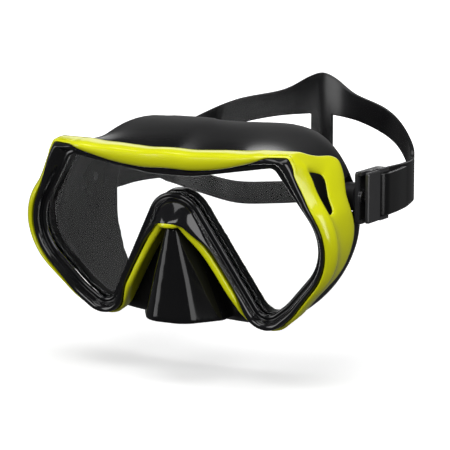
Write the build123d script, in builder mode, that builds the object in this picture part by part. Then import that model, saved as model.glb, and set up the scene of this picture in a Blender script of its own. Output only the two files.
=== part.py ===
"""Diving mask: one-pane lens, front bezel with nose hood, outer frame with side wings,
silicone skirt with nose pocket, two ratchet buckles and a split head strap.

Millimetres. +X is the wearer's left, -Y is where the wearer looks, +Z is up.
The origin is the middle of the face seal. The lens leans forward at the top.
"""
from build123d import *
from math import cos, radians, sin, tan
import os

os.makedirs("parts", exist_ok=True)

# ---------------------------------------------------------------- driving dimensions
LENS_Y = -50.0            # front of the glass, ahead of the face seal
LENS_PITCH = 11.0         # lean of the glass, top forward, degrees

GLASS = 4.0               # tempered glass thickness
GLASS_LAP = 3.5           # how far the glass reaches under the bezel
BEZEL_WIDTH = 7.0         # width of the bezel ring around the opening
BEZEL_BASE = 3.0          # thickness of the bezel ahead of the glass
BEZEL_ROLL = 6.5          # crest of the bezel's outer roll ahead of the glass
BEZEL_SKIRT = 4.0         # the bezel's side wall starts this far out of the opening
BEZEL_DEPTH = 6.0         # and reaches this far behind the glass front
GAP = 0.15                # assembly gap between pieces that are clipped together

RIM = 3.4                 # width of the outer frame's rim around the bezel
RIM_FRONT = 3.0           # rim's front edge ahead of the glass
RIM_BACK = 7.0            # rim's back edge behind the glass front
WING = 5.0                # wall thickness of the side wings

NOSE_APEX = 20.9          # top of the nose notch in the lens
NOSE_RADIUS = 16.0        # arc of the nose notch
NOSE_HALF_ANGLE = 29.2    # lean of the notch's sides
HOOD_REACH = 14.0         # the nose hood's tip ahead of the glass
HOOD_DROP = 7.2           # and how far it comes down on the way

SKIRT_WALL = 2.4          # silicone wall
SKIRT_FRONT = 8.3         # the skirt's chamber starts this far behind the glass front

BUCKLE_Z = 18.0           # middle of the buckles and of the strap's ends
BUCKLE_PIVOT = 38.5       # swivel pin behind the lens origin
STRAP_WIDTH = 21.0
STRAP = 2.2               # strap thickness
BASE_IN, BASE_OUT = 79.9, 81.5      # buckle base plate
COVER_IN, COVER_OUT = 85.2, 87.0    # release lever plate
AXLE_X = 83.4             # roller axle and lever pin
ROLLER_Y = 54.3           # roller axle behind the lens origin
LEVER_Y = 44.6            # lever pin behind the lens origin
ROLLER_R = 3.1            # over the ribs
AXLE_R = 1.2
LEVER_PIN_R = 0.8
SWIVEL_R = 2.2
ANCHOR_R, ANCHOR_FLANGE_R = 7.0, 9.5
ANCHOR_IN, ANCHOR_LEDGE, ANCHOR_OUT = 71.6, 73.2, BASE_IN - 0.2
RUNNING = 0.05            # radial clearance of a turning pin
SNUG = 0.01               # radial gap of a pin that is fixed in its hole
WALL_IN = STRAP_WIDTH / 2 + 0.5     # buckle cheek, inner face from the buckle's middle
CHEEK = 1.8

LEAN = radians(LENS_PITCH)
LENS_NORMAL = (0, -cos(LEAN), -sin(LEAN))


def lens_plane(ahead=0.0):
    """Plane parallel to the glass, this far ahead of its front face."""
    place = Vector(0, LENS_Y, 0) + Vector(*LENS_NORMAL) * ahead
    return Plane(origin=place, x_dir=(1, 0, 0), z_dir=LENS_NORMAL)


def upright(behind):
    """Plane facing the wearer's view, this far behind the lens origin; x is X, y is Z."""
    return Plane(origin=(0, LENS_Y + behind, 0), x_dir=(1, 0, 0), z_dir=(0, -1, 0))


def level(height):
    """Horizontal plane whose y counts from the lens origin backwards."""
    return Plane(origin=(0, LENS_Y, height), x_dir=(1, 0, 0), z_dir=(0, 0, 1))


def side_plane(x):
    """Plane seen from the side; its x runs back from the lens origin, its y is Z."""
    return Plane(origin=(x, LENS_Y, 0), x_dir=(0, 1, 0), z_dir=(1, 0, 0))


def both_halves(points):
    """A right-hand outline, top to bottom, closed by its mirror image."""
    return points + [(-x, y) for x, y in reversed(points) if x > 0]


# ---------------------------------------------------------------- lens outline
# Corners of the glass opening and the arc at each, right half from the top middle.
OPENING = [
    ((11.8, 29.7), 60.0),
    ((57.1, 37.3), 4.0),
    ((83.6, -3.7), 25.0),
    ((57.5, -32.5), 30.0),
    ((44.7, -42.1), 6.2),
]
NOSE_CORNER = (0, NOSE_APEX + NOSE_RADIUS * (1 / sin(radians(NOSE_HALF_ANGLE)) - 1))


def opening_outline():
    """Closed outline of the lens opening: two lobes and the nose notch."""
    right = [corner for corner, arc in OPENING]
    arcs = [arc for corner, arc in OPENING]
    left = [(-x, y) for x, y in reversed(right)]
    corners = right + [NOSE_CORNER] + left
    radii = arcs + [NOSE_RADIUS] + arcs[::-1]
    return FilletPolyline(*corners, radius=radii, close=True)


def grown_opening(grow):
    """Sketch of the opening, grown outwards."""
    with BuildSketch() as shape:
        with BuildLine():
            opening_outline()
        make_face()
        if grow > 0:
            offset(amount=grow, kind=Kind.ARC)
    return shape.sketch


def ring(outer, inner):
    """Sketch of the band between two growths of the opening."""
    return grown_opening(outer) - grown_opening(inner)


def nose_arch(apex, arc, foot):
    """Points and arc of an inverted V with a round top, down to the height foot."""
    corner = apex + arc * (1 / sin(radians(NOSE_HALF_ANGLE)) - 1)
    half = (corner - foot) * tan(radians(NOSE_HALF_ANGLE))
    return [(-half, foot), (0, corner), (half, foot)]


def horseshoe(outward, inward, drop, foot=-37.0):
    """Sketch of an arch band round the nose: offsets from the notch, lowered by drop."""
    with BuildSketch() as shape:
        for size, how in ((outward, Mode.ADD), (inward, Mode.SUBTRACT)):
            apex, arc = NOSE_APEX - size - drop, NOSE_RADIUS - size
            with BuildLine():
                line = FilletPolyline(*nose_arch(apex, arc, foot), radius=arc)
                Line(line @ 1, line @ 0)
            make_face(mode=how)
    return shape.sketch


# ---------------------------------------------------------------- brow line
BROW_LOW = [(0, 34.1), (14, 34.4), (30, 35.6), (42, 38.2), (52, 41.0), (66, 42.6)]
BROW_TOP = [(66, 46.8), (58, 45.6), (30, 43.9), (0, 43.6)]


def brow_sketch(drop=0.0):
    """Sketch of the brow bar, its lower edge lowered by drop."""
    low = [(x, y - drop) for x, y in BROW_LOW]
    with BuildSketch() as shape:
        with BuildLine():
            under = Spline(*low)
            over = Spline(*BROW_TOP)
            Line(under @ 1, over @ 0)
            Line(over @ 1, under @ 0)
        make_face()
        mirror(about=Plane.YZ)
    return shape.sketch


# ---------------------------------------------------------------- lens
with BuildPart() as lens:
    with BuildSketch(lens_plane()):
        add(grown_opening(GLASS_LAP))
    extrude(amount=-GLASS)
    chamfer(lens.edges().group_by(Axis(origin=(0, 0, 0), direction=LENS_NORMAL))[-1], 0.4)
lens.part.label = "lens"
export_step(lens.part, "parts/lens.step")

# ---------------------------------------------------------------- nose cut, seen from the side
# The hood's front edge runs from its tip back to the bezel's roll.
HOOD_EDGE = [(15, 18), (7.5, 14.4), (2, 9.6), (-9.5, 7.0), (-26, 6.5), (-38, 3.0), (-38, 30), (15, 30)]
HOOD_HALF = 60


def lens_side_plane():
    """Plane square to the glass through its middle; x is height up the glass, y is ahead."""
    up = (0, -sin(LEAN), cos(LEAN))
    return Plane(origin=(0, LENS_Y, 0), x_dir=up, z_dir=(-1, 0, 0))


def ahead_of_hood(clear):
    """Solid in front of the hood's edge, moved forward by clear."""
    with BuildPart() as cutter:
        with BuildSketch(lens_side_plane()):
            with BuildLine():
                Polyline(*[(up, ahead + clear) for up, ahead in HOOD_EDGE], close=True)
            make_face()
        extrude(amount=HOOD_HALF, both=True)
    return cutter.part


# ---------------------------------------------------------------- front bezel with nose hood
HOOD_OUT, HOOD_IN = 4.2, 7.0

with BuildPart() as front_bezel:
    with BuildSketch(lens_plane()):
        add(ring(BEZEL_WIDTH, 0))
    extrude(amount=BEZEL_BASE)
    with BuildSketch(lens_plane(BEZEL_BASE)):
        add(ring(BEZEL_WIDTH, 3.4))
    extrude(amount=BEZEL_ROLL - BEZEL_BASE)
    with BuildSketch(lens_plane()):
        add(ring(BEZEL_WIDTH, BEZEL_SKIRT))
    extrude(amount=-BEZEL_DEPTH)
    with BuildPart(mode=Mode.PRIVATE) as hood:
        with BuildSketch(lens_plane(BEZEL_BASE)):
            add(horseshoe(HOOD_OUT, HOOD_IN, 0))
        with BuildSketch(lens_plane(HOOD_REACH + 4)):
            add(horseshoe(HOOD_OUT, HOOD_IN, HOOD_DROP))
        loft(ruled=True)
        add(ahead_of_hood(-1.2), mode=Mode.SUBTRACT)
    add(hood.part)
    with BuildSketch(lens_plane()):
        add(brow_sketch(GAP))
    extrude(amount=BEZEL_ROLL + 1, mode=Mode.SUBTRACT)
front_bezel.part.label = "front_bezel"
export_step(front_bezel.part, "parts/front_bezel.step")

# ---------------------------------------------------------------- outer frame
# Side view of a wing: (behind the lens origin, height), and the triangular window in it.
WING_SIDE = [(-16, 47.5), (-9, 46.5), (27.5, 39.5), (27, 3), (23, -14), (14, -25), (7, -40), (-8, -44)]
WING_START = 60.0         # the wings lie outside this X
WING_WINDOW = [(0.5, 36.5), (14, 32.8), (10, 16), (4.5, 22)]
FRAME_GAP = BEZEL_WIDTH + GAP
WING_REAR = -34.0


def wing_side(right):
    """Solid that keeps one side's wing, with its window left out."""
    with BuildPart() as keep:
        with BuildSketch(side_plane(right * WING_START)):
            with BuildLine():
                FilletPolyline(*WING_SIDE, radius=3, close=True)
            make_face()
            with BuildLine():
                FilletPolyline(*WING_WINDOW, radius=2, close=True)
            make_face(mode=Mode.SUBTRACT)
        extrude(amount=right * 50.0)
    return keep.part


with BuildPart() as outer_frame:
    with BuildSketch(lens_plane(RIM_FRONT)):
        add(ring(FRAME_GAP + RIM, FRAME_GAP))
    extrude(amount=-RIM_FRONT - RIM_BACK)
    with BuildSketch(lens_plane(BEZEL_ROLL)):
        add(brow_sketch())
    extrude(amount=-BEZEL_ROLL)
    with BuildSketch(lens_plane(-RIM_BACK)):
        add(brow_sketch() - grown_opening(FRAME_GAP))
    extrude(amount=RIM_BACK)
    with BuildPart(mode=Mode.PRIVATE) as wings:
        with BuildSketch(lens_plane(BEZEL_ROLL - 1)):
            add(ring(FRAME_GAP + WING, FRAME_GAP))
        extrude(amount=WING_REAR - BEZEL_ROLL + 1)
    for side in (1, -1):
        add(wings.part & wing_side(side))
    with BuildPart(mode=Mode.PRIVATE) as nose_rim:
        with BuildSketch(lens_plane(BEZEL_BASE)):
            add(horseshoe(FRAME_GAP, FRAME_GAP + RIM, 0))
        with BuildSketch(lens_plane(HOOD_REACH + 4)):
            add(horseshoe(FRAME_GAP, FRAME_GAP + RIM, HOOD_DROP))
        loft(ruled=True)
        add(ahead_of_hood(0), mode=Mode.SUBTRACT)
    add(nose_rim.part)
outer_frame.part.label = "outer_frame"
export_step(outer_frame.part, "parts/outer_frame.step")

# ---------------------------------------------------------------- skirt
# Outlines of the eye chamber, right half from the top middle to the bottom middle.
CHAMBER_FRONT = [(0, 35), (32, 38.5), (56, 41.5), (66, 33), (75, 17), (80, 0), (75, -18),
                 (61, -34), (46, -41), (28, -42), (0, -42)]
CHAMBER_REST = [
    (20, [(0, 47), (32, 46.5), (52, 44), (64, 36), (73, 22), (78.5, 2), (74, -18),
          (62, -34), (46, -44), (26, -46), (0, -45.5)]),
    (38, [(0, 52), (32, 51.5), (52, 48), (66, 38), (75, 23), (79, 4), (74, -16),
          (61, -34), (43, -46), (23, -50), (0, -48)]),
    (56, [(0, 52), (30, 51), (48, 46), (59, 36), (66, 22), (69.5, 3), (65, -16),
          (53, -33), (37, -43), (20, -46), (0, -44)]),
]
PAST_SKIRT = 85.0          # further out than the chamber's sides
FACE_EDGE = [(-92, 70), (-78, 60), (-66, 55), (-40, 45.5), (0, 40.5)]
FACE_CUT_LOW, FACE_CUT_TALL = -70, 140
# Half outlines of the nose pocket from above, at three heights: the front face, then the corners
# back to the chamber's front wall.
POCKET = [
    (4, [(2, -9.2), (3.4, -7.5), (4.5, -2), (4.5, 8.7)]),
    (-20, [(4.5, -12.4), (9, -9), (14.5, 1), (14.5, 13.4)]),
    (-44, [(7, -14.6), (13.5, -10.5), (23, 4), (23, 18.0)]),
]


def shrunk(points, wall):
    """Outline points moved in towards the middle of the chamber by the wall."""
    moved = []
    for x, y in points:
        arm = Vector(x, y, 0)
        arm = arm * (1 - wall / arm.length)
        moved.append((arm.X, arm.Y))
    return moved


def chamber(wall):
    """Solid of the eye chamber, its walls moved in by this much."""
    with BuildPart() as solid:
        front = [(lens_plane(-SKIRT_FRONT - wall), CHAMBER_FRONT)]
        rest = [(upright(behind), points) for behind, points in CHAMBER_REST]
        for plane, points in front + rest:
            with BuildSketch(plane):
                with BuildLine():
                    Spline(*both_halves(shrunk(points, wall)), periodic=True)
                make_face()
        loft()
    return solid.part


def pocket(wall):
    """Solid of the nose pocket, its walls moved in by this much."""
    with BuildPart() as solid:
        for height, outline in POCKET:
            lift = wall if height < -40 else 0
            rows = [(max(x - wall, 1.0), y + wall) for x, y in outline]
            corners = rows + [(-x, y) for x, y in reversed(rows)]
            with BuildSketch(level(height + lift)):
                with BuildLine():
                    Polyline(*corners, close=True)
                make_face()
        loft(ruled=True)
    return solid.part


with BuildPart() as skirt:
    add(chamber(0))
    add(pocket(0))
    with BuildSketch(lens_plane(-GLASS)):
        add(grown_opening(BEZEL_SKIRT - GAP))
    extrude(amount=-(SKIRT_FRONT + 1 - GLASS))
    add(chamber(SKIRT_WALL), mode=Mode.SUBTRACT)
    add(pocket(SKIRT_WALL), mode=Mode.SUBTRACT)
    with BuildSketch(lens_plane(-GLASS + 1)):
        add(grown_opening(0))
    extrude(amount=-(SKIRT_FRONT + 2), mode=Mode.SUBTRACT)
    with BuildSketch(level(FACE_CUT_LOW)):
        with BuildLine():
            right = [(-x, y) for x, y in FACE_EDGE[:-1]][::-1]
            edge = Spline(*FACE_EDGE, *right)
            Polyline(edge @ 1, (92, 90), (-92, 90), edge @ 0)
        make_face()
    extrude(amount=FACE_CUT_TALL, mode=Mode.SUBTRACT)
    for half, radius in ((PAST_SKIRT, ANCHOR_R), (ANCHOR_LEDGE, ANCHOR_FLANGE_R)):
        with BuildSketch(side_plane(-half)):
            with Locations((BUCKLE_PIVOT, BUCKLE_Z)):
                Circle(radius + SNUG)
        extrude(amount=2 * half, mode=Mode.SUBTRACT)
skirt.part.label = "skirt"
export_step(skirt.part, "parts/skirt.step")

# ---------------------------------------------------------------- head strap
# Half of the strap seen from above, from the back middle to the tail outside the buckle.
STRAP_BACK = [(0, 159), (45, 143), (68, 124), (77, 108), (80, 92)]
LOOP_R = 3.5 + STRAP / 2
TAIL = [(87.3, 66), (85.7, 80)]

# Outline seen from behind, right half: top edge, bottom edge, and the window beside the web.
STRAP_TOP = [(0, 65), (8, 62.5), (22, 55), (45, 49.5), (62, 41), (76, 30)]
STRAP_LOW = [(0, -7), (24, -8.6), (45, -8.4), (62, -2), (76, 6.5)]
WINDOW_TOP = [(7, 42), (26, 40), (45, 35.5), (60, 29), (73, 19)]
WINDOW_LOW = [(7, 5), (26, 3.8), (45, 4), (60, 9), (73, 17)]
WEB = [(7, 42), (5, 36), (5, 28), (7, 16), (7, 5)]
STRAP_FLOOR, STRAP_TALL = -12, 80
STRAP_BEHIND, STRAP_LONG = 170, 140
STRAP_ENDS = (BUCKLE_Z - STRAP_WIDTH / 2, BUCKLE_Z + STRAP_WIDTH / 2)


def strap_path():
    """The strap's middle line seen from above, tail to tail."""
    inner, outer = AXLE_X - LOOP_R, AXLE_X + LOOP_R
    for s in (1, -1):
        back = [(s * x, y) for x, y in STRAP_BACK] + [(s * inner, ROLLER_Y)]
        Spline(*back, tangents=((s, 0), (0, -1)))
        ThreePointArc((s * inner, ROLLER_Y), (s * AXLE_X, ROLLER_Y - LOOP_R), (s * outer, ROLLER_Y))
        Spline((s * outer, ROLLER_Y), *[(s * x, y) for x, y in TAIL], tangents=((0, 1), (-s * 0.15, 1)))


with BuildPart() as head_strap:
    with BuildSketch(level(STRAP_FLOOR)):
        with BuildLine():
            strap_path()
        trace(line_width=STRAP)
    extrude(amount=STRAP_TALL)
    with BuildSketch(upright(STRAP_BEHIND)):
        with BuildLine():
            over = Spline(*STRAP_TOP, tangents=((1, 0), (1, -0.7)))
            under = Spline(*STRAP_LOW, tangents=((1, 0), (1, 0.5)))
            low, high = STRAP_ENDS
            Polyline(over @ 1, (80, high), (92, high), (92, low), (80, low), under @ 1)
            Line(under @ 0, over @ 0)
        make_face()
        with BuildLine():
            roof = Spline(*WINDOW_TOP)
            floor = Spline(*WINDOW_LOW)
            web = Spline(*WEB)
            Line(roof @ 1, floor @ 1)
        make_face(mode=Mode.SUBTRACT)
        mirror(about=Plane.YZ)
    extrude(amount=STRAP_LONG, mode=Mode.INTERSECT)
head_strap.part.label = "head_strap"
export_step(head_strap.part, "parts/head_strap.step")

# ---------------------------------------------------------------- buckles, one each side
BASE_FRONT, BASE_REAR = 33.5, 47.6
CHEEK_OUT = WALL_IN + CHEEK
# A cheek seen from above: (X, behind the lens origin).
CHEEK_SHAPE = [(BASE_IN, 34.2), (83.0, 34.2), (83.0, 40.8), (84.6, 42.4), (84.6, 48.6), (86.6, 49.6),
               (86.6, 58.6), (BASE_IN + 0.6, 58.6), (BASE_IN, 57.4)]
COVER_FRONT, COVER_REAR = 34.5, 48.3
KNUCKLE_R = 1.7
SPRING_R, SPRING_WIRE, SPRING_PITCH, SPRING_SPAN = 1.3, 0.25, 1.6, 6.4
RIBS, RIB_WIDTH, RIB_HEIGHT = 18, 0.5, 0.45
PIN_HEAD_R, PIN_HEAD = 3.2, 0.75    # rivet head of the swivel pin
PIN_HOLE = 20
PIN_END = 0.1             # play between the pin's head and the base plate
KNUCKLE_GAP = 0.4         # between a lever knuckle and the cheek
KNUCKLE_FOOT = 4.4        # inner end of a knuckle above the buckle's middle
ROLLER_PLAY = 0.3         # end play of the roller between the cheeks


def buckle_side(sign, x):
    """Plane facing outboard; its x runs back from the lens origin, centred on the buckle's height."""
    return Plane(origin=(sign * x, LENS_Y, BUCKLE_Z), x_dir=(0, 1, 0), z_dir=(sign, 0, 0))


def buckle_level(height=0.0):
    """Horizontal plane at this height above the buckle's middle."""
    return level(BUCKLE_Z + height)


def disc(plane, at, radius, length):
    """Solid cylinder standing on a plane."""
    with BuildPart() as solid:
        with BuildSketch(plane):
            with Locations(at):
                Circle(radius)
        extrude(amount=length)
    return solid.part


def upright_pin(sign, at, radius, half):
    """Solid cylinder along Z, centred on the buckle's height."""
    x, y = at
    return disc(buckle_level(-half), (sign * x, y), radius, 2 * half)


for side, sign in (("left", 1), ("right", -1)):
    pivot = (BUCKLE_PIVOT, 0)
    axle_at, lever_at = (AXLE_X, ROLLER_Y), (AXLE_X, LEVER_Y)

    with BuildPart() as strap_anchor:
        add(disc(buckle_side(sign, ANCHOR_IN), pivot, ANCHOR_FLANGE_R, ANCHOR_LEDGE - ANCHOR_IN))
        add(disc(buckle_side(sign, ANCHOR_LEDGE), pivot, ANCHOR_R, ANCHOR_OUT - ANCHOR_LEDGE))
        add(disc(buckle_side(sign, ANCHOR_IN - 1), pivot, SWIVEL_R + SNUG, PIN_HOLE), mode=Mode.SUBTRACT)
    strap_anchor.part.label = f"strap_anchor_{side}"
    export_step(strap_anchor.part, f"parts/strap_anchor_{side}.step")

    with BuildPart() as swivel_pin:
        add(disc(buckle_side(sign, ANCHOR_IN), pivot, SWIVEL_R, BASE_OUT + PIN_END - ANCHOR_IN))
        add(disc(buckle_side(sign, BASE_OUT + PIN_END), pivot, PIN_HEAD_R, PIN_HEAD))
    swivel_pin.part.label = f"swivel_pin_{side}"
    export_step(swivel_pin.part, f"parts/swivel_pin_{side}.step")

    with BuildPart() as buckle_body:
        with BuildSketch(buckle_side(sign, BASE_IN)):
            with Locations(((BASE_FRONT + BASE_REAR) / 2, 0)):
                RectangleRounded(BASE_REAR - BASE_FRONT, 2 * CHEEK_OUT, 1.5)
            with Locations(pivot):
                Circle(SWIVEL_R + RUNNING, mode=Mode.SUBTRACT)
        extrude(amount=BASE_OUT - BASE_IN)
        for low in (WALL_IN, -CHEEK_OUT):
            with BuildSketch(buckle_level(low)):
                with BuildLine():
                    Polyline(*[(sign * x, y) for x, y in CHEEK_SHAPE], close=True)
                make_face()
                with Locations((sign * AXLE_X, ROLLER_Y)):
                    Circle(AXLE_R + SNUG, mode=Mode.SUBTRACT)
                with Locations((sign * AXLE_X, LEVER_Y)):
                    Circle(LEVER_PIN_R + SNUG, mode=Mode.SUBTRACT)
            extrude(amount=CHEEK)
    buckle_body.part.label = f"buckle_body_{side}"
    export_step(buckle_body.part, f"parts/buckle_body_{side}.step")

    with BuildPart() as roller_axle:
        add(upright_pin(sign, axle_at, AXLE_R, CHEEK_OUT))
    roller_axle.part.label = f"roller_axle_{side}"
    export_step(roller_axle.part, f"parts/roller_axle_{side}.step")

    with BuildPart() as strap_roller:
        with BuildSketch(buckle_level(-WALL_IN + ROLLER_PLAY)):
            with Locations((sign * AXLE_X, ROLLER_Y)):
                Circle(ROLLER_R - RIB_HEIGHT)
                with PolarLocations(ROLLER_R - RIB_HEIGHT, RIBS):
                    Rectangle(2 * RIB_HEIGHT, RIB_WIDTH)
                Circle(AXLE_R + RUNNING, mode=Mode.SUBTRACT)
        extrude(amount=2 * (WALL_IN - ROLLER_PLAY))
    strap_roller.part.label = f"strap_roller_{side}"
    export_step(strap_roller.part, f"parts/strap_roller_{side}.step")

    with BuildPart() as lever_pin:
        add(upright_pin(sign, lever_at, LEVER_PIN_R, CHEEK_OUT))
    lever_pin.part.label = f"lever_pin_{side}"
    export_step(lever_pin.part, f"parts/lever_pin_{side}.step")

    with BuildPart() as release_lever:
        with BuildSketch(buckle_side(sign, COVER_IN)):
            with Locations(((COVER_FRONT + COVER_REAR) / 2, 0)):
                RectangleRounded(COVER_REAR - COVER_FRONT, 2 * CHEEK_OUT - 0.6, 1.2)
        extrude(amount=COVER_OUT - COVER_IN)
        chamfer(release_lever.faces().sort_by(Axis.X)[-1 if sign > 0 else 0].edges(), 0.5)
        for low in (KNUCKLE_FOOT, -WALL_IN + KNUCKLE_GAP):
            with BuildSketch(buckle_level(low)):
                with Locations((sign * AXLE_X, LEVER_Y)):
                    Circle(KNUCKLE_R)
                with Locations((sign * (AXLE_X + COVER_IN + 0.2) / 2, LEVER_Y)):
                    Rectangle(COVER_IN + 0.2 - AXLE_X, 2 * KNUCKLE_R)
            extrude(amount=WALL_IN - KNUCKLE_GAP - KNUCKLE_FOOT)
        add(upright_pin(sign, lever_at, LEVER_PIN_R + RUNNING, CHEEK_OUT), mode=Mode.SUBTRACT)
    release_lever.part.label = f"release_lever_{side}"
    export_step(release_lever.part, f"parts/release_lever_{side}.step")

    with BuildPart() as lever_spring:
        foot = (sign * AXLE_X, LENS_Y + LEVER_Y, BUCKLE_Z - SPRING_SPAN / 2)
        with BuildLine(Plane(origin=foot)) as coil:
            Helix(pitch=SPRING_PITCH, height=SPRING_SPAN, radius=SPRING_R)
        with BuildSketch(Plane(origin=coil.line @ 0, z_dir=coil.line % 0)):
            Circle(SPRING_WIRE)
        sweep(path=coil.line, is_frenet=True)
    lever_spring.part.label = f"lever_spring_{side}"
    export_step(lever_spring.part, f"parts/lever_spring_{side}.step")
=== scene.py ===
"""Looks of the diving mask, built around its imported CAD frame.

Shapes are worked out in millimetres and turned to metres when a mesh is made. The front pieces
follow the lens opening: a place on them is a station round the opening, a distance out of its
edge and a height ahead of the glass.
"""
import bmesh
import bpy
import numpy as np
from math import atan2, ceil, cos, pi, radians, sin, tan
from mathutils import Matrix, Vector


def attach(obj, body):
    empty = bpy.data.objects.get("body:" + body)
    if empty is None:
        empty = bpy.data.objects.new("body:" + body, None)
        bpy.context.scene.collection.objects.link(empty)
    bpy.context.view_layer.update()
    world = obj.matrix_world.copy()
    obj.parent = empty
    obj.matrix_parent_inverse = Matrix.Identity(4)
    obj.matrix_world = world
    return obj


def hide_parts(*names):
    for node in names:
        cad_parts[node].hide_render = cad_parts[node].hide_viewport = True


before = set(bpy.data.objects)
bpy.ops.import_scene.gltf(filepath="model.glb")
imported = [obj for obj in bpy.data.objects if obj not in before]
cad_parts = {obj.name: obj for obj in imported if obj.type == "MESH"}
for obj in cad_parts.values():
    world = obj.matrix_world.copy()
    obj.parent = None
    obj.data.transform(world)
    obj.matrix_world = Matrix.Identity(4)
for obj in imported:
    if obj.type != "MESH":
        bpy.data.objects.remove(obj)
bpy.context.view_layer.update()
MM = 0.001

# ---------------------------------------------------------------- the lens and its opening
LENS_Y = -50.0            # front of the glass, ahead of the face seal
LENS_PITCH = radians(11)  # lean of the glass, top forward
LENS_ORIGIN = np.array((0.0, LENS_Y, 0.0))
UP_GLASS = np.array((0.0, -sin(LENS_PITCH), cos(LENS_PITCH)))
AHEAD = np.array((0.0, -cos(LENS_PITCH), -sin(LENS_PITCH)))

# Corners of the opening and the arc at each, right half from the top middle.
OPENING = [
    ((11.8, 29.7), 60.0),
    ((57.1, 37.3), 4.0),
    ((83.6, -3.7), 25.0),
    ((57.5, -32.5), 30.0),
    ((44.7, -42.1), 6.2),
]
# Over the nose: the top of the opening's edge, the arc there, and the lean of its two legs.
NOSE_APEX, NOSE_RADIUS, NOSE_LEAN = 20.9, 16.0, radians(29.2)


def from_lens(x, up, ahead):
    """Point at this place across, up and ahead of the glass."""
    return LENS_ORIGIN + np.array((x, 0.0, 0.0)) + up * UP_GLASS + ahead * AHEAD


def left_of(direction):
    """A direction in the plane turned a quarter turn to the left."""
    return np.array((-direction[1], direction[0]))


def round_opening(step=2.0, arc_step=radians(7)):
    """Points round the opening from the top middle, clockwise, and the outward normal at each."""
    right = [np.array(corner, float) for corner, arc in OPENING]
    arcs = [arc for corner, arc in OPENING]
    nose = np.array((0.0, NOSE_APEX + NOSE_RADIUS * (1 / sin(NOSE_LEAN) - 1)))
    corners = right + [nose] + [c * (-1, 1) for c in right[::-1]]
    radii = arcs + [NOSE_RADIUS] + arcs[::-1]
    points, normals = [], []
    here = np.array((0.0, corners[0][1]))
    for k, (corner, arc) in enumerate(zip(corners, radii)):
        arriving = corner - corners[k - 1]
        leaving = corners[(k + 1) % len(corners)] - corner
        arriving, leaving = arriving / np.linalg.norm(arriving), leaving / np.linalg.norm(leaving)
        turn = atan2(arriving[0] * leaving[1] - arriving[1] * leaving[0], arriving @ leaving)
        start = corner - arriving * arc * tan(abs(turn) / 2)
        count = max(2, ceil(np.linalg.norm(start - here) / step))
        for n in range(count):
            points.append(here + (start - here) * n / count)
            normals.append(left_of(arriving))
        side = 1 if turn > 0 else -1
        centre = start + side * arc * left_of(arriving)
        bends = max(3, ceil(abs(turn) / arc_step))
        for n in range(bends):
            angle = turn * n / bends
            heading = np.array((arriving[0] * cos(angle) - arriving[1] * sin(angle),
                                arriving[0] * sin(angle) + arriving[1] * cos(angle)))
            points.append(centre - side * arc * left_of(heading))
            normals.append(left_of(heading))
        here = corner + leaving * arc * tan(abs(turn) / 2)
    last = np.array((0.0, corners[0][1]))      # back at the top middle
    count = max(2, ceil(np.linalg.norm(last - here) / step))
    for n in range(count):
        points.append(here + (last - here) * n / count)
        normals.append(left_of(leaving))
    return np.array(points), np.array(normals)


EDGE, NORMAL = round_opening()
STEPS = np.linalg.norm(np.roll(EDGE, -1, axis=0) - EDGE, axis=1)
ALONG = np.concatenate(([0.0], np.cumsum(STEPS)[:-1]))
LENGTH = STEPS.sum()
FROM_TOP = np.minimum(ALONG, LENGTH - ALONG)   # distance from the top middle on either half
RIGHT_HALF = ALONG <= LENGTH / 2


def station(place):
    """Distance round the right half of the opening of the point nearest to this place."""
    half = ALONG <= LENGTH / 2 + 0.5
    gap = np.linalg.norm(EDGE[half] - np.array(place), axis=1)
    return ALONG[half][gap.argmin()]


def through(knots, values, wanted):
    """Smooth curve through the values at the knots, level at both ends."""
    knots, values, wanted = np.array(knots), np.array(values, float), np.array(wanted)
    slopes = np.zeros_like(values)
    rises = np.diff(values, axis=0) / np.diff(knots).reshape((-1,) + (1,) * (values.ndim - 1))
    same = rises[1:] * rises[:-1] > 0
    slopes[1:-1] = np.where(same, 2 * rises[1:] * rises[:-1] / np.where(same, rises[1:] + rises[:-1], 1), 0)
    k = np.clip(np.searchsorted(knots, wanted, side="right") - 1, 0, len(knots) - 2)
    span = knots[k + 1] - knots[k]
    t = np.clip((wanted - knots[k]) / span, 0, 1)
    shape = (-1,) + (1,) * (values.ndim - 1)
    t, span = t.reshape(shape), span.reshape(shape)
    return ((2 * t**3 - 3 * t**2 + 1) * values[k] + (t**3 - 2 * t**2 + t) * span * slopes[k]
            + (3 * t**2 - 2 * t**3) * values[k + 1] + (t**3 - t**2) * span * slopes[k + 1])


def round_sections(keys):
    """Sections at every station, from sections given at places of the right half."""
    knots = [station(place) for place, section in keys]
    sections = [section for place, section in keys]
    return through(knots, sections, FROM_TOP)


NOSE_DROP = 0.48          # how fast the pieces round the nose come down as they go ahead
NOSE_BASE = 3.0           # from this height on
NOSE_START, NOSE_FULL = station((40, -33)), station((32, -19))   # the drop sets in between these
# How much further over the nose the hood and the frame reach than their sections say.
NOSE_REACH = [
    ((32, -19.4), 0.0),
    ((24.4, -5.9), 0.8),
    ((19.0, 4.0), 1.8),
    ((16.1, 9.0), 2.3),
    ((13.2, 13.6), 2.3),
    ((8.0, 18.0), 1.7),
    ((0, 20.9), 1.4),
]
REACH_FROM, REACH_FADE = 3.0, 3.0   # the reach sets in at this distance out, over this width


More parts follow.
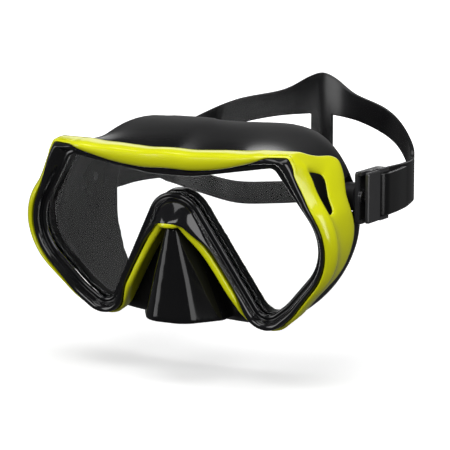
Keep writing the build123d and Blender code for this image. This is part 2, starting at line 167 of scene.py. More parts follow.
def swept(sections):
    """Grid of points: each station's section of (out of the edge, ahead of the glass, along the edge)."""
    nose = np.clip((FROM_TOP - NOSE_START) / (NOSE_FULL - NOSE_START), 0, 1)
    nose = nose * nose * (3 - 2 * nose)
    knots = [station(place) for place, far in NOSE_REACH]
    reach = through(knots, [far for place, far in NOSE_REACH], FROM_TOP)
    grid = np.zeros(sections.shape[:2] + (3,))
    for k in range(len(EDGE)):
        onward = left_of(NORMAL[k]) * (-1 if RIGHT_HALF[k] else 1)
        for n, (out, ahead, slide) in enumerate(sections[k]):
            out += reach[k] * np.clip((out - REACH_FROM) / REACH_FADE, 0, 1)
            x, up = EDGE[k] + NORMAL[k] * out + onward * slide
            up -= nose[k] * NOSE_DROP * max(ahead - NOSE_BASE, 0)
            grid[k, n] = from_lens(x, up, ahead)
    return square_corners(grid, sections)


# Places round the top corner: the points between the second and the fourth are drawn afresh.
CORNER = [(51, 36.3), (55.4, 37.0), (57.6, 36.4), (59.2, 34.2), (61.5, 30.8)]
CORNER_OUT = 5.0          # only what lies further out of the edge than this


def square_corners(grid, sections):
    """Draws the outer parts straight across the tight top corners, where the stations fan out."""
    knots = [station(place) for place in CORNER]
    for half in (RIGHT_HALF, ~RIGHT_HALF):
        ends = [np.where(half, abs(FROM_TOP - knot), LENGTH).argmin() for knot in knots]
        between = half & (FROM_TOP > knots[1]) & (FROM_TOP < knots[3])
        for column in range(grid.shape[1]):
            if sections[ends[2], column, 0] > CORNER_OUT:
                grid[between, column] = through(FROM_TOP[ends], grid[ends, column], FROM_TOP[between])
    return grid


# ---------------------------------------------------------------- meshes
def grid_faces(rows, columns, round_rows, round_columns, skip=frozenset()):
    """Quads of a grid of points numbered row by row."""
    faces = []
    for r in range(rows if round_rows else rows - 1):
        for c in range(columns if round_columns else columns - 1):
            if (r, c) in skip:
                continue
            here, below, beside = r * columns, (r + 1) % rows * columns, (c + 1) % columns
            faces.append((here + c, below + c, below + beside, here + beside))
    return faces


def new_piece(name, points, faces):
    """Mesh object from points in millimetres, smooth shaded, with its normals pointing out."""
    mesh = bpy.data.meshes.new(name)
    mesh.from_pydata([tuple(p * MM) for p in points], [], faces)
    piece = bpy.data.objects.new(name, mesh)
    bpy.context.scene.collection.objects.link(piece)
    tidy_mesh(mesh)
    return piece


def tidy_mesh(mesh):
    """Merges doubled points, drops loose ones, and turns the normals the same way."""
    shape = bmesh.new()
    shape.from_mesh(mesh)
    bmesh.ops.remove_doubles(shape, verts=shape.verts, dist=1e-6)
    loose = [v for v in shape.verts if not v.link_faces]
    bmesh.ops.delete(shape, geom=loose, context="VERTS")
    bmesh.ops.recalc_face_normals(shape, faces=shape.faces)
    shape.to_mesh(mesh)
    shape.free()
    mesh.shade_smooth()


def subdivide(piece, levels=2):
    """Rounds the piece's surface."""
    modifier = piece.modifiers.new("smooth", "SUBSURF")
    modifier.levels = modifier.render_levels = levels


def thicken(piece, thickness, offset):
    """Gives a surface a wall: inward at an offset of -1, to both sides alike at 0."""
    modifier = piece.modifiers.new("wall", "SOLIDIFY")
    modifier.thickness = thickness * MM
    modifier.offset = offset
    modifier.use_even_offset = False


def bevel(piece, width, angle=30):
    """Breaks the piece's edges that are sharper than the angle."""
    modifier = piece.modifiers.new("edges", "BEVEL")
    modifier.width = width * MM
    modifier.segments = 3
    modifier.limit_method = "ANGLE"
    modifier.angle_limit = radians(angle)
    modifier.harden_normals = True


def apply_modifiers(piece):
    """Turns the piece's modifiers into mesh."""
    graph = bpy.context.evaluated_depsgraph_get()
    done = bpy.data.meshes.new_from_object(piece.evaluated_get(graph))
    piece.modifiers.clear()
    piece.data = done
    done.shade_smooth()


# ---------------------------------------------------------------- materials
def new_material(name):
    """Material with its nodes, its links and its shader."""
    material = bpy.data.materials.new(name)
    material.use_nodes = True
    nodes = material.node_tree.nodes
    return material, nodes, material.node_tree.links, nodes["Principled BSDF"]


def noise(nodes, links, scale, detail):
    """Noise over the object, from 0 to 1."""
    place = nodes.new("ShaderNodeTexCoord")
    grain = nodes.new("ShaderNodeTexNoise")
    grain.inputs["Scale"].default_value = scale
    grain.inputs["Detail"].default_value = detail
    links.new(place.outputs["Object"], grain.inputs["Vector"])
    return grain.outputs["Fac"]


def spread_over(nodes, links, value, source, result):
    """The value, mapped from one range to another."""
    change = nodes.new("ShaderNodeMapRange")
    change.inputs["From Min"].default_value, change.inputs["From Max"].default_value = source
    change.inputs["To Min"].default_value, change.inputs["To Max"].default_value = result
    links.new(value, change.inputs["Value"])
    return change.outputs["Result"]


BROAD = 55                # scale of the slow changes in colour and gloss
GRAIN_DEPTH = 0.1         # of the fine grain at full strength


def moulded(name, colour, grain, bump, gloss=None, coat=0.0, shade=0.08, specular=0.5):
    """Moulded plastic or silicone: fine grain in the surface, and gloss that varies between two values."""
    material, nodes, links, shader = new_material(name)
    shader.inputs["Coat Weight"].default_value = coat
    shader.inputs["Coat Roughness"].default_value = 0.05
    shader.inputs["Specular IOR Level"].default_value = specular
    broad = noise(nodes, links, BROAD, 4)
    if gloss:
        links.new(spread_over(nodes, links, broad, (0, 1), gloss), shader.inputs["Roughness"])
    ramp = nodes.new("ShaderNodeValToRGB")
    darker, lighter = ramp.color_ramp.elements
    darker.position, lighter.position = 0.3, 0.7
    darker.color = tuple(c * (1 - shade) for c in colour) + (1,)
    lighter.color = tuple(min(c * (1 + shade), 1) for c in colour) + (1,)
    links.new(broad, ramp.inputs["Fac"])
    links.new(ramp.outputs["Color"], shader.inputs["Base Color"])
    relief = nodes.new("ShaderNodeBump")
    relief.inputs["Strength"].default_value = bump
    relief.inputs["Distance"].default_value = GRAIN_DEPTH * MM
    links.new(noise(nodes, links, 1 / (grain * MM), 3), relief.inputs["Height"])
    links.new(relief.outputs["Normal"], shader.inputs["Normal"])
    return material


def satin_behind(material, depths, gloss):
    """Makes the material go from one roughness to another between two depths."""
    nodes, links = material.node_tree.nodes, material.node_tree.links
    place = nodes.new("ShaderNodeTexCoord")
    split = nodes.new("ShaderNodeSeparateXYZ")
    links.new(place.outputs["Object"], split.inputs["Vector"])
    rough = spread_over(nodes, links, split.outputs["Y"], [depth * MM for depth in depths], gloss)
    links.new(rough, nodes["Principled BSDF"].inputs["Roughness"])


def metal(name, colour, gloss):
    """Steel with a fine grain."""
    material = moulded(name, colour, grain=0.1, bump=0.05, gloss=gloss)
    material.node_tree.nodes["Principled BSDF"].inputs["Metallic"].default_value = 1.0
    return material


def glass(name):
    """Clear tempered glass, with a trace of wiping marks in its gloss."""
    material, nodes, links, shader = new_material(name)
    shader.inputs["Transmission Weight"].default_value = 1.0
    shader.inputs["IOR"].default_value = 1.3
    shader.inputs["Base Color"].default_value = (0.985, 0.995, 0.99, 1)
    marks = noise(nodes, links, 18, 5)
    links.new(spread_over(nodes, links, marks, (0.45, 0.8), (0.0, 0.02)), shader.inputs["Roughness"])
    return material


YELLOW = moulded("acid_yellow_plastic", (0.72, 0.74, 0.003), grain=0.8, bump=0.012, gloss=(0.17, 0.23),
                 coat=0.25, shade=0.02)
BLACK = moulded("gloss_black_plastic", (0.006, 0.006, 0.007), grain=1.6, bump=0.006, gloss=(0.07, 0.11))
SILICONE = moulded("black_silicone", (0.006, 0.006, 0.0065), grain=0.25, bump=0.006, specular=0.25)
satin_behind(SILICONE, (-46, -30), (0.1, 0.5))
STRAP = moulded("black_strap_silicone", (0.005, 0.005, 0.0055), grain=0.3, bump=0.06, gloss=(0.15, 0.25),
                specular=0.35)
BUCKLE = moulded("black_buckle_plastic", (0.035, 0.035, 0.037), grain=0.3, bump=0.03, gloss=(0.19, 0.29))
STEEL = metal("drawn_steel", (0.55, 0.55, 0.56), (0.17, 0.33))
SPRING_STEEL = metal("spring_steel", (0.42, 0.42, 0.44), (0.22, 0.38))
GLASS = glass("tempered_glass")


def finish_piece(piece, material, body, slot, *nodes):
    """Gives a new piece its material and body, and hides the CAD nodes it stands for. The slot is not used.
    """
    piece.data.materials.clear()
    piece.data.materials.append(material)
    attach(piece, body)
    if nodes:
        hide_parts(*nodes)


def paint_node(name, material):
    """Gives a CAD node its material."""
    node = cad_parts[name]
    if not node.data.materials:
        node.data.materials.append(material)
    for place in node.material_slots:
        place.link = "OBJECT"
        place.material = material
    return node


# ---------------------------------------------------------------- front bezel
LIP = [(0.0, 0.05, 0), (-0.1, 1.2, 0), (0.45, 2.2, 0), (1.3, 2.5, 0), (2.1, 2.05, 0), (2.6, 2.1, 0)]
PLAIN_WIDTH, PLAIN_CREST = 7.0, 6.5      # of the profile that the others are widened and lowered from


def bezel_section(width, crest, fall=0.0, slide=0.0):
    """Closed profile of the bezel: lip at the glass, groove, outer roll, side wall, back."""
    grow, low = width - PLAIN_WIDTH, crest - PLAIN_CREST
    roll = [(3.2 + grow * 0.5, 4.6 + low * 0.6, 0), (4.1 + grow * 0.7, 6.0 + low, 0),
            (5.2 + grow * 0.9, 6.5 + low, slide / 2), (6.2 + grow, 6.2 + low - fall * 0.6, slide),
            (6.85 + grow, 5.0 + low * 0.8 - fall, slide), (7.0 + grow, 2.5 + low * 0.3 - fall, slide)]
    wall = [(7.0 + grow, -3.0, slide), (6.9 + grow, -6.0, slide), (4.3, -6.0, 0), (4.2, 0.05, 0)]
    return LIP + roll + wall


# The same profile over the nose, where the roll rises into the hood.
HOOD_APEX = LIP + [
    (3.0, 4.6, 0), (3.9, 7.8, 0), (4.9, 10.4, 0), (5.9, 12.6, 0), (6.4, 12.9, 0), (6.9, 12.3, 0),
    (7.0, 6.0, 0), (6.9, -3.0, 0), (4.3, -5.0, 0), (4.2, 0.05, 0)]
HOOD_SHOULDER = LIP + [
    (2.9, 4.0, 0), (3.4, 6.2, 0), (3.9, 8.0, 0), (4.3, 8.9, 0), (4.9, 8.9, 0), (5.4, 8.2, 0),
    (6.2, 4.0, 0), (6.4, -3.0, 0), (4.3, -5.0, 0), (4.2, 0.05, 0)]
HOOD_LEG = LIP + [
    (2.7, 3.2, 0), (2.75, 4.4, 0), (2.85, 5.3, 0), (3.0, 5.6, 0), (3.5, 5.4, 0), (4.4, 4.6, 0),
    (6.0, 2.0, 0), (6.4, -3.0, 0), (4.3, -5.0, 0), (4.2, 0.05, 0)]
# The bezel's profile at places round the right half of the opening.
BEZEL_KEYS = [
    ((0, 29.7), bezel_section(7.0, 3.3)),
    ((30, 32.8), bezel_section(7.0, 3.3)),
    ((44, 35.1), bezel_section(7.0, 4.2)),
    ((51, 36.3), bezel_section(7.0, 5.8)),
    ((55.4, 37.0), bezel_section(6.7, 6.2, fall=0.8, slide=1.2)),
    ((57.6, 36.4), bezel_section(9.9, 6.4, fall=2.6, slide=1.3)),
    ((59.2, 34.2), bezel_section(10.3, 6.5, fall=2.0)),
    ((61.5, 30.8), bezel_section(9.4, 6.6, fall=0.8)),
    ((64.5, 26), bezel_section(8.2, 6.6)),
    ((67.5, 21.2), bezel_section(7.3, 6.5)),
    ((71, 15.8), bezel_section(6.3, 6.5)),
    ((76.5, 5), bezel_section(5.9, 6.4)),
    ((75, -13), bezel_section(5.9, 6.4)),
    ((66, -23), bezel_section(6.2, 6.4)),
    ((56, -33), bezel_section(6.8, 6.4)),
    ((46.7, -39), bezel_section(7.2, 6.4)),
    ((40, -33.6), bezel_section(6.6, 6.3)),
    ((32, -19.4), HOOD_LEG),
    ((24.4, -5.9), HOOD_LEG),
    ((16.1, 9.0), HOOD_SHOULDER),
    ((0, 20.9), HOOD_APEX),
]

grid = swept(round_sections(BEZEL_KEYS))
bezel = new_piece("bezel_shell", grid.reshape(-1, 3), grid_faces(*grid.shape[:2], True, True))
subdivide(bezel)
finish_piece(bezel, BLACK, "mask", "bezel_black", "front_bezel")

# ---------------------------------------------------------------- outer frame
# Sections from the edge at the bezel over the front rail, the dish and the rear rail to the tucked rim.
FRAME_KEYS = [
    ((0, 29.7), [
        (5.4, 3.0, 0), (4.5, 4.9, 0), (5.6, 6.5, 0), (9.0, 7.4, 0), (12.2, 6.6, 0),
        (13.7, 4.6, 0), (14.0, 1.5, 0), (13.4, -2.0, 0), (12.2, -5.5, 0), (10.6, -7.0, 0)]),
    ((30, 32.8), [
        (3.8, 3.0, 0), (2.9, 4.8, 0), (4.0, 6.4, 0), (7.0, 7.3, 0), (9.8, 6.5, 0),
        (11.1, 4.4, 0), (11.3, 1.5, 0), (10.9, -2.0, 0), (9.9, -5.5, 0), (8.8, -7.0, 0)]),
    ((44, 35.1), [
        (4.6, 3.2, 0), (3.8, 4.9, 0), (4.7, 6.4, 0), (6.8, 7.1, 0), (8.5, 6.2, 0),
        (9.3, 4.4, 0), (9.4, 1.5, 0), (9.0, -2.0, 0), (8.3, -5.5, 0), (7.6, -7.0, 0)]),
    ((51, 36.3), [
        (5.6, 3.2, 0), (5.0, 5.4, 0), (5.7, 6.7, 0), (7.1, 7.0, 0), (8.2, 6.1, 0),
        (8.8, 4.3, 0), (8.9, 1.5, 0), (8.5, -2.0, 0), (7.9, -5.0, 0), (7.4, -7.0, 0)]),
    ((55.4, 37.0), [
        (6.4, 2.4, 1), (6.5, 4.4, 1), (6.9, 4.9, 1), (7.4, 4.5, 0.8), (7.6, 3.6, 0.6),
        (7.7, 2.4, 0.4), (7.7, 0.4, 0), (7.6, -2.0, 0), (7.2, -5.0, 0), (6.7, -7.0, 0)]),
    ((57.6, 36.4), [
        (9.7, 0.2, 1.3), (9.8, 2.2, 1.3), (10.2, 2.5, 1.3), (10.7, 1.7, 1.3), (11.1, 0.5, 1.4),
        (11.3, -0.9, 1.5), (11.3, -2.6, 1.6), (11.2, -4.5, 1.8), (10.9, -7.0, 2.0), (10.2, -9.0, 2.0)]),
    ((59.2, 34.2), [
        (10.2, 1.4, 0), (10.2, 3.2, 0), (10.5, 3.2, 0), (11.3, 1.6, 0), (12.1, -0.1, 0),
        (12.7, -1.9, 0), (12.4, -4.4, -0.4), (12.2, -7.4, -0.8), (12.1, -11.0, -1.1), (11.4, -13.5, -1.1)]),
    ((61.5, 30.8), [
        (8.9, 2.8, 0), (8.9, 4.6, 0), (9.4, 4.2, 0), (10.7, 1.9, 0), (12.1, -0.5, 0),
        (13.1, -2.8, 0), (12.9, -5.6, 0), (12.3, -11.0, 1.5), (11.9, -19.0, -1.0), (11.2, -22.0, -1.0)]),
    ((63.2, 28.1), [
        (8.4, 3.0, 0), (8.4, 4.8, 0), (9.0, 4.3, 0), (10.3, 2.1, 0), (11.6, -0.3, 0),
        (12.7, -2.7, 0), (10.9, -6.0, 0), (11.7, -13.0, 4.5), (12.4, -25.0, -1.1), (11.6, -28.0, -1.1)]),
    ((64.5, 26), [
        (7.9, 3.2, 0), (7.9, 4.8, 0), (8.5, 4.4, 0), (9.8, 2.2, 0), (11.2, -0.2, 0),
        (12.3, -2.6, 0), (10.4, -5.8, 0), (11.7, -13.0, 3.6), (12.9, -29.0, -0.5), (12.2, -33.0, -0.4)]),
    ((67.5, 21.2), [
        (7.1, 3.2, 0), (7.1, 5.2, 0), (7.7, 4.8, 0), (8.9, 2.8, 0), (10.2, 0.5, 0),
        (11.3, -1.7, 0), (9.2, -5.0, 0), (10.9, -11.0, 2.5), (12.6, -26.5, 0), (11.4, -32.0, 0)]),
    ((71, 15.8), [
        (6.3, 3.2, 0), (6.3, 5.7, 0), (7.0, 5.9, 0), (8.3, 4.0, 0), (9.7, 1.5, 0),
        (10.9, -1.0, 0), (8.7, -4.6, 0), (9.9, -9.2, 1), (11.6, -23.0, 0), (10.4, -28.5, 0)]),
    ((74.7, 10.1), [
        (5.9, 3.2, 0), (5.9, 6.2, 0), (7.0, 6.8, 0), (8.7, 5.5, 0), (10.2, 2.9, 0),
        (11.1, -0.1, 0), (8.4, -4.2, 0), (8.8, -8.4, 0), (10.4, -19.0, 0), (9.2, -24.5, 0)]),
    ((77.0, 1), [
        (5.8, 3.2, 0), (5.8, 6.2, 0), (6.9, 6.9, 0), (8.6, 5.7, 0), (10.1, 3.2, 0),
        (10.9, 0.1, 0), (8.2, -4.4, 0), (7.2, -9.5, 0), (8.8, -20.5, 0), (7.8, -25.0, 0)]),
    ((76, -9), [
        (5.8, 3.2, 0), (5.8, 6.2, 0), (6.8, 6.8, 0), (8.2, 5.6, 0), (9.5, 3.2, 0),
        (10.2, 0.4, 0), (8.4, -4.0, 0), (7.2, -9.5, 0), (8.3, -18.0, 0), (7.4, -22.0, 0)]),
    ((71.5, -17), [
        (6.1, 3.2, 0), (6.1, 6.0, 0), (6.8, 6.5, 0), (7.8, 5.5, 0), (8.6, 3.5, 0),
        (9.0, 1.2, 0), (8.4, -3.5, 0), (8.0, -8.0, 0), (8.6, -13.0, 0), (7.6, -16.5, 0)]),
    ((63, -26.5), [
        (6.4, 3.0, 0), (6.4, 5.4, 0), (7.0, 5.8, 0), (7.7, 5.0, 0), (8.3, 3.4, 0),
        (8.6, 1.6, 0), (8.6, -1.0, 0), (8.6, -3.5, 0), (8.6, -6.0, 0), (7.8, -8.5, 0)]),
    ((54, -34), [
        (7.0, 2.2, 0), (7.0, 3.6, 0), (7.4, 4.2, 0), (7.9, 3.8, 0), (8.3, 2.8, 0),
        (8.5, 1.6, 0), (8.7, 0.0, 0), (8.8, -2.0, 0), (8.7, -4.0, 0), (8.0, -6.0, 0)]),
    ((46.7, -39), [
        (7.3, -0.5, 0), (7.3, 0.4, 0), (7.6, 1.0, 0), (8.0, 1.0, 0), (8.4, 0.4, 0),
        (8.6, -0.6, 0), (8.7, -1.8, 0), (8.8, -3.0, 0), (8.7, -4.4, 0), (8.0, -6.0, 0)]),
    ((40.5, -34.5), [
        (6.8, 1.8, 0), (6.7, 3.4, 0), (7.1, 4.7, 0), (7.9, 5.0, 0), (8.6, 4.4, 0),
        (8.9, 3.2, 0), (9.0, 1.4, 0), (9.1, -1.0, 0), (9.1, -3.6, 0), (8.4, -6.0, 0)]),
    ((34.6, -24.1), [
        (5.2, 4.0, 0), (5.1, 5.4, 0), (5.4, 6.4, 0), (6.6, 6.9, 0), (8.0, 6.3, 0),
        (8.6, 4.8, 0), (9.0, 2.6, 0), (9.2, 0.0, 0), (9.4, -3.0, 0), (9.0, -6.0, 0)]),
    ((24.4, -5.9), [
        (5.4, 3.6, 0), (5.1, 4.8, 0), (5.3, 5.8, 0), (6.5, 6.3, 0), (7.9, 5.8, 0),
        (8.5, 4.4, 0), (9.0, 2.2, 0), (9.3, -0.5, 0), (9.5, -3.0, 0), (9.4, -6.0, 0)]),
    ((16.1, 9.0), [
        (5.4, 5.4, 0), (5.2, 6.8, 0), (5.4, 7.8, 0), (6.7, 8.4, 0), (8.2, 7.8, 0),
        (8.8, 6.2, 0), (9.2, 4.0, 0), (9.5, 1.0, 0), (9.9, -2.0, 0), (9.8, -6.0, 0)]),
    ((13.2, 13.6), [
        (5.6, 6.6, 0), (5.4, 8.0, 0), (5.6, 9.0, 0), (6.9, 9.6, 0), (8.3, 9.0, 0),
        (8.9, 7.4, 0), (9.4, 5.0, 0), (9.7, 2.0, 0), (10.0, -1.5, 0), (10.0, -6.0, 0)]),
    ((8, 18.0), [
        (5.9, 8.9, 0), (5.7, 10.4, 0), (6.0, 11.5, 0), (7.3, 12.1, 0), (8.7, 11.5, 0),
        (9.3, 9.7, 0), (9.6, 6.6, 0), (9.9, 3.0, 0), (10.1, -0.7, 0), (10.1, -5.5, 0)]),
    ((0, 20.9), [
        (6.1, 10.2, 0), (5.9, 11.8, 0), (6.2, 12.9, 0), (7.5, 13.5, 0), (8.9, 12.9, 0),
        (9.5, 11.0, 0), (9.8, 7.6, 0), (10.0, 3.8, 0), (10.2, 0.0, 0), (10.2, -5.0, 0)]),
]
WINDOW_TOP, WINDOW_FOOT = station((62.8, 28.7)), station((74.2, 10.9))
WINDOW_STRIP = 6          # the window lies between this section point and the next
FRAME_WALL = 1.8

grid = swept(round_sections(FRAME_KEYS))
mid_faces = (FROM_TOP + np.roll(FROM_TOP, -1)) / 2
window = {(k, WINDOW_STRIP) for k in range(len(EDGE)) if WINDOW_TOP < mid_faces[k] < WINDOW_FOOT}
outer = new_piece("outer_frame_shell", grid.reshape(-1, 3), grid_faces(*grid.shape[:2], True, False, window))
thicken(outer, FRAME_WALL, -1)
subdivide(outer)
finish_piece(outer, YELLOW, "mask", "frame_yellow", "outer_frame")

# ---------------------------------------------------------------- skirt
VOXEL, SOFTENING = 0.95, 30         # the skirt is remeshed at this size and smoothed this many times
RIM_OUT, RIM_DEPTH = 0.5, 14.0      # the rim goes this far past the opening, down to this depth
RIM_REACH, RIM_FADE = 4.0, 4.0      # what stands further in stays; the move fades out at its lower end
RIM_FRONT = 1.0                     # and it starts this far ahead of the glass's front


def clear_opening(mesh):
    """Moves the rim behind the glass just past the opening's edge, so that it ends in a clean line."""
    places = np.empty(3 * len(mesh.vertices))
    mesh.vertices.foreach_get("co", places)
    places = places.reshape(-1, 3)
    offsets = places / MM - LENS_ORIGIN
    ahead = offsets @ AHEAD
    near = np.where((ahead > -RIM_DEPTH) & (ahead < RIM_FRONT))[0]
    flat = np.stack((offsets[near, 0], offsets[near] @ UP_GLASS), axis=1)
    nearest = np.array([((EDGE - point) ** 2).sum(axis=1).argmin() for point in flat])
    gap = ((flat - EDGE[nearest]) * NORMAL[nearest]).sum(axis=1)
    move = np.where(gap > -RIM_REACH, np.clip(RIM_OUT - gap, 0, None), 0)
    move *= np.clip((ahead[near] + RIM_DEPTH) / RIM_FADE, 0, 1)
    shift = NORMAL[nearest] * move[:, None]
    places[near] += (shift[:, :1] * np.array((1, 0, 0)) + shift[:, 1:] * UP_GLASS) * MM
    mesh.vertices.foreach_set("co", places.reshape(-1))
    mesh.update()


skirt = bpy.data.objects.new("skirt_silicone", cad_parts["skirt"].data.copy())
bpy.context.scene.collection.objects.link(skirt)
remesh = skirt.modifiers.new("remesh", "REMESH")
remesh.mode = "VOXEL"
remesh.voxel_size = VOXEL * MM
smooth = skirt.modifiers.new("soften", "SMOOTH")
smooth.iterations = SOFTENING
apply_modifiers(skirt)
clear_opening(skirt.data)
finish_piece(skirt, SILICONE, "mask", "silicone_black", "skirt")

# ---------------------------------------------------------------- head strap
STRAP_THICK, STRAP_WIDTH = 2.2, 21.0
# Middle line of the strap's right half from above, across and behind the glass: round the back of the
# head, straight to the roller, round it, and along the tail.
STRAP_BACK = [(0, 159), (45, 143), (68, 124), (77, 108), (80, 92)]
STRAIGHT_FROM = 74
BUCKLE_Z, AXLE_X, ROLLER_Y, ROLLER_R = 18.0, 83.4, 54.3, 3.5
LOOP_R = ROLLER_R + STRAP_THICK / 2
TAIL = [(87.3, 66), (85.7, 80)]
# Edges of the band and of its window, across and up.
STRAP_TOP = [(0, 65), (8, 62.5), (22, 55), (45, 49.5), (62, 41), (76, 30)]
STRAP_LOW = [(0, -7), (24, -8.6), (45, -8.4), (62, -2), (76, 6.5)]
WINDOW_ROOF = [(5, 42.3), (7, 42), (26, 40), (45, 35.5), (60, 29), (73, 19)]
WINDOW_FLOOR = [(5, 5.2), (7, 5), (26, 3.8), (45, 4), (60, 9), (73, 17)]
WINDOW_IN, WINDOW_END = 6.0, 72.5      # the window goes from the web to here
END_STRIP = 3                          # half height of the strip between the bands past the window
STRIP_FROM, STRIP_WIDTH = 72, 4        # where the window's edges settle into that strip
NARROW_FROM, NARROW_WIDTH = 74, 2      # where the band's edges settle into the plain end
BAND_ROWS, WINDOW_ROWS = 5, 6          # rows of points over each band, and over the window
EDGE_POINTS = 60                       # along each edge's curve
BACK_POINTS, TURN_POINTS, TAIL_POINTS = 90, 15, 16
STRAP_EDGE = 0.6


def curve(points, count, level_start=False):
    """Smooth curve through points, evenly divided; a level start suits a mirrored half."""
    points = np.array(points, float)
    chord = np.concatenate(([0], np.cumsum(np.linalg.norm(np.diff(points, axis=0), axis=1))))
    before = points[1] * (-1, 1) if level_start else 2 * points[0] - points[1]
    padded = np.vstack((before, points, 2 * points[-1] - points[-2]))
    wanted = np.linspace(0, chord[-1], count)
    k = np.clip(np.searchsorted(chord, wanted, side="right") - 1, 0, len(points) - 2)
    t = ((wanted - chord[k]) / (chord[k + 1] - chord[k]))[:, None]
    a, b, c, d = padded[k], padded[k + 1], padded[k + 2], padded[k + 3]
    return 0.5 * (2 * b + (c - a) * t + (2 * a - 5 * b + 4 * c - d) * t**2 + (3 * b - 3 * c + d - a) * t**3)


def strap_plan():
    """Points along the middle line of the right half, and how many of them come before the roller."""
    inner = AXLE_X - LOOP_R
    back = curve(STRAP_BACK + [(inner, STRAIGHT_FROM), (inner, ROLLER_Y)], BACK_POINTS, True)
    turn = [(AXLE_X - LOOP_R * cos(angle), ROLLER_Y - LOOP_R * sin(angle))
            for angle in np.linspace(0, pi, TURN_POINTS)[1:-1]]
    tail = curve([(AXLE_X + LOOP_R, ROLLER_Y)] + TAIL, TAIL_POINTS)
    return np.vstack((back, turn, tail)), len(back)


def strap_heights(x, doubled):
    """Edge, window roof, window floor and edge heights at this distance from the middle."""
    ends = [BUCKLE_Z + up for up in (STRAP_WIDTH / 2, END_STRIP, -END_STRIP, -STRAP_WIDTH / 2)]
    if doubled or x >= NARROW_FROM + NARROW_WIDTH:
        return ends
    strip = np.clip((x - STRIP_FROM) / STRIP_WIDTH, 0, 1)
    narrow = np.clip((x - NARROW_FROM) / NARROW_WIDTH, 0, 1)
    top = np.interp(x, *curve(STRAP_TOP, EDGE_POINTS, True).T)
    roof = np.interp(x, *curve(WINDOW_ROOF, EDGE_POINTS).T)
    floor = np.interp(x, *curve(WINDOW_FLOOR, EDGE_POINTS).T)
    low = np.interp(x, *curve(STRAP_LOW, EDGE_POINTS, True).T)
    return [height + (end - height) * settled
            for height, end, settled in zip((top, roof, floor, low), ends, (narrow, strip, strip, narrow))]


plan, back_count = strap_plan()
half_columns, opened = [], []
for k, (x, behind) in enumerate(plan):
    top, roof, floor, low = strap_heights(x, k >= back_count)
    heights = np.concatenate((np.linspace(top, roof, BAND_ROWS),
                              np.linspace(roof, floor, WINDOW_ROWS)[1:-1],
                              np.linspace(floor, low, BAND_ROWS)))
    half_columns.append([(x, LENS_Y + behind, z) for z in heights])
    opened.append(k < back_count and WINDOW_IN < x < WINDOW_END)
columns = np.array([[(-x, y, z) for x, y, z in column] for column in half_columns[:0:-1]] + half_columns)
opened = opened[:0:-1] + opened
window_rows = range(BAND_ROWS - 1, BAND_ROWS + WINDOW_ROWS - 2)
skip = {(k, row) for k in range(len(columns) - 1) for row in window_rows if opened[k] and opened[k + 1]}
strap = new_piece("strap_band", columns.reshape(-1, 3), grid_faces(*columns.shape[:2], False, False, skip))
thicken(strap, STRAP_THICK, 0)
bevel(strap, STRAP_EDGE, 50)
finish_piece(strap, STRAP, "harness", "strap_silicone", "head_strap")

# ---------------------------------------------------------------- CAD nodes that stay
# Material and edge width of each small part.
SMALL_PARTS = {
    "buckle_body": (BUCKLE, 0.35),
    "release_lever": (BUCKLE, 0.3),
    "strap_roller": (BUCKLE, 0.08),
    "strap_anchor": (SILICONE, 0.4),
    "swivel_pin": (STEEL, 0.2),
    "roller_axle": (STEEL, 0.2),
    "lever_pin": (STEEL, 0.15),
    "lever_spring": (SPRING_STEEL, 0),
}

paint_node("lens", GLASS)
for side in ("left", "right"):
    for name, (material, edge) in SMALL_PARTS.items():
        node = paint_node(f"{name}_{side}", material)
        if edge:
            bevel(node, edge)

# ---------------------------------------------------------------- camera, light and floor
# The camera stands in front, to the wearer's left and a little above: the way to it, its right and its up.
VIEW = Vector((0.4929, -0.8537, 0.1685))
RIGHT, LIFT = Vector((0.866, 0.5, 0.0)), Vector((-0.0842, 0.1459, 0.9857))
CAMERA_FAR, CAMERA_LENS = 1.1, 178.1
AIM_RIGHT, AIM_LIFT = 0.0228, 0.00306      # what it aims at, from the middle of the glass

middle = Vector(LENS_ORIGIN * MM)
aim = middle + RIGHT * AIM_RIGHT + LIFT * AIM_LIFT
camera = bpy.data.objects.new("camera", bpy.data.cameras.new("camera"))
camera.data.lens, camera.data.sensor_width = CAMERA_LENS, 36.0
camera.location = middle + VIEW * CAMERA_FAR
camera.rotation_euler = (aim - camera.location).to_track_quat("-Z", "Y").to_euler()
bpy.context.scene.collection.objects.link(camera)
bpy.context.scene.camera = camera
bpy.context.scene.view_settings.view_transform = "Standard"

world = bpy.data.worlds.new("studio")
world.use_nodes = True
world.node_tree.nodes["Background"].inputs["Color"].default_value = (1, 1, 1, 1)
world.node_tree.nodes["Background"].inputs["Strength"].default_value = 0.1
bpy.context.scene.world = world


def softbox(name, place, size, glow):
    """Oblong softbox of even brightness, facing the mask."""
    lamp = bpy.data.lights.new(name, "AREA")
    lamp.shape = "RECTANGLE"
    lamp.size, lamp.size_y = size
    lamp.energy = glow * pi * size[0] * size[1]
    box = bpy.data.objects.new(name, lamp)
    box.location = place
    box.rotation_euler = (-Vector(place)).to_track_quat("-Z", "Y").to_euler()
    box.visible_camera = False
    bpy.context.scene.collection.objects.link(box)


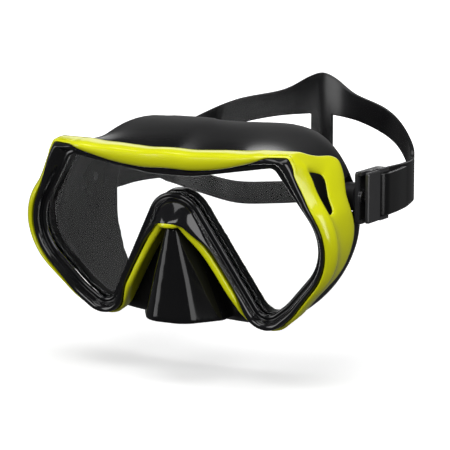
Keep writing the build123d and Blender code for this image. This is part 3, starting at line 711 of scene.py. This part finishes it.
softbox("overhead", (0.1, -0.1, 1.1), (1.3, 0.9), 2.6)
softbox("left_strip", (-1.0, -0.9, 0.25), (0.6, 1.1), 3.6)
softbox("right_strip", (1.3, -0.5, 0.35), (0.6, 1.1), 4.2)
softbox("front_box", (0.2, -1.6, 0.9), (1.1, 0.6), 5.0)
softbox("rear_box", (-0.4, 1.2, 0.6), (1.0, 0.6), 1.0)


def backdrop_white():
    """Matt pale backdrop that glows, least in the middle, where the shadow falls."""
    material, nodes, links, shader = new_material("backdrop_white")
    shader.inputs["Base Color"].default_value = (0.9, 0.9, 0.9, 1)
    shader.inputs["Roughness"].default_value = 0.9
    shader.inputs["Emission Color"].default_value = (1, 1, 1, 1)
    place = nodes.new("ShaderNodeTexCoord")
    reach = nodes.new("ShaderNodeVectorMath")
    reach.operation = "LENGTH"
    rise = nodes.new("ShaderNodeMapRange")
    rise.interpolation_type = "SMOOTHSTEP"
    rise.inputs["From Min"].default_value = 0.25
    rise.inputs["From Max"].default_value = 1.1
    rise.inputs["To Min"].default_value = 0.4
    rise.inputs["To Max"].default_value = 1.0
    links.new(place.outputs["Object"], reach.inputs[0])
    links.new(reach.outputs["Value"], rise.inputs["Value"])
    links.new(rise.outputs["Result"], shader.inputs["Emission Strength"])
    return material


FLOOR_Z = -0.075
# Radius and height over the floor of each ring of the backdrop, from the middle to the top of the wall.
RINGS = [(0.02, 0.0), (1.0, 0.0), (3.0, 0.0), (3.6, 0.3), (3.8, 1.2), (3.8, 4.0 - FLOOR_Z)]


def sweep_backdrop(turns=64):
    """Floor and round wall in one, far enough out for every view."""
    points = [np.array((r * cos(2 * pi * k / turns), r * sin(2 * pi * k / turns), FLOOR_Z + rise)) / MM
              for r, rise in RINGS for k in range(turns)]
    faces = [tuple(reversed(range(turns)))] + grid_faces(len(RINGS), turns, False, True)
    backdrop = new_piece("backdrop", points, faces)
    backdrop.data.materials.append(backdrop_white())
    backdrop.visible_glossy = False
    backdrop.visible_diffuse = False


sweep_backdrop()
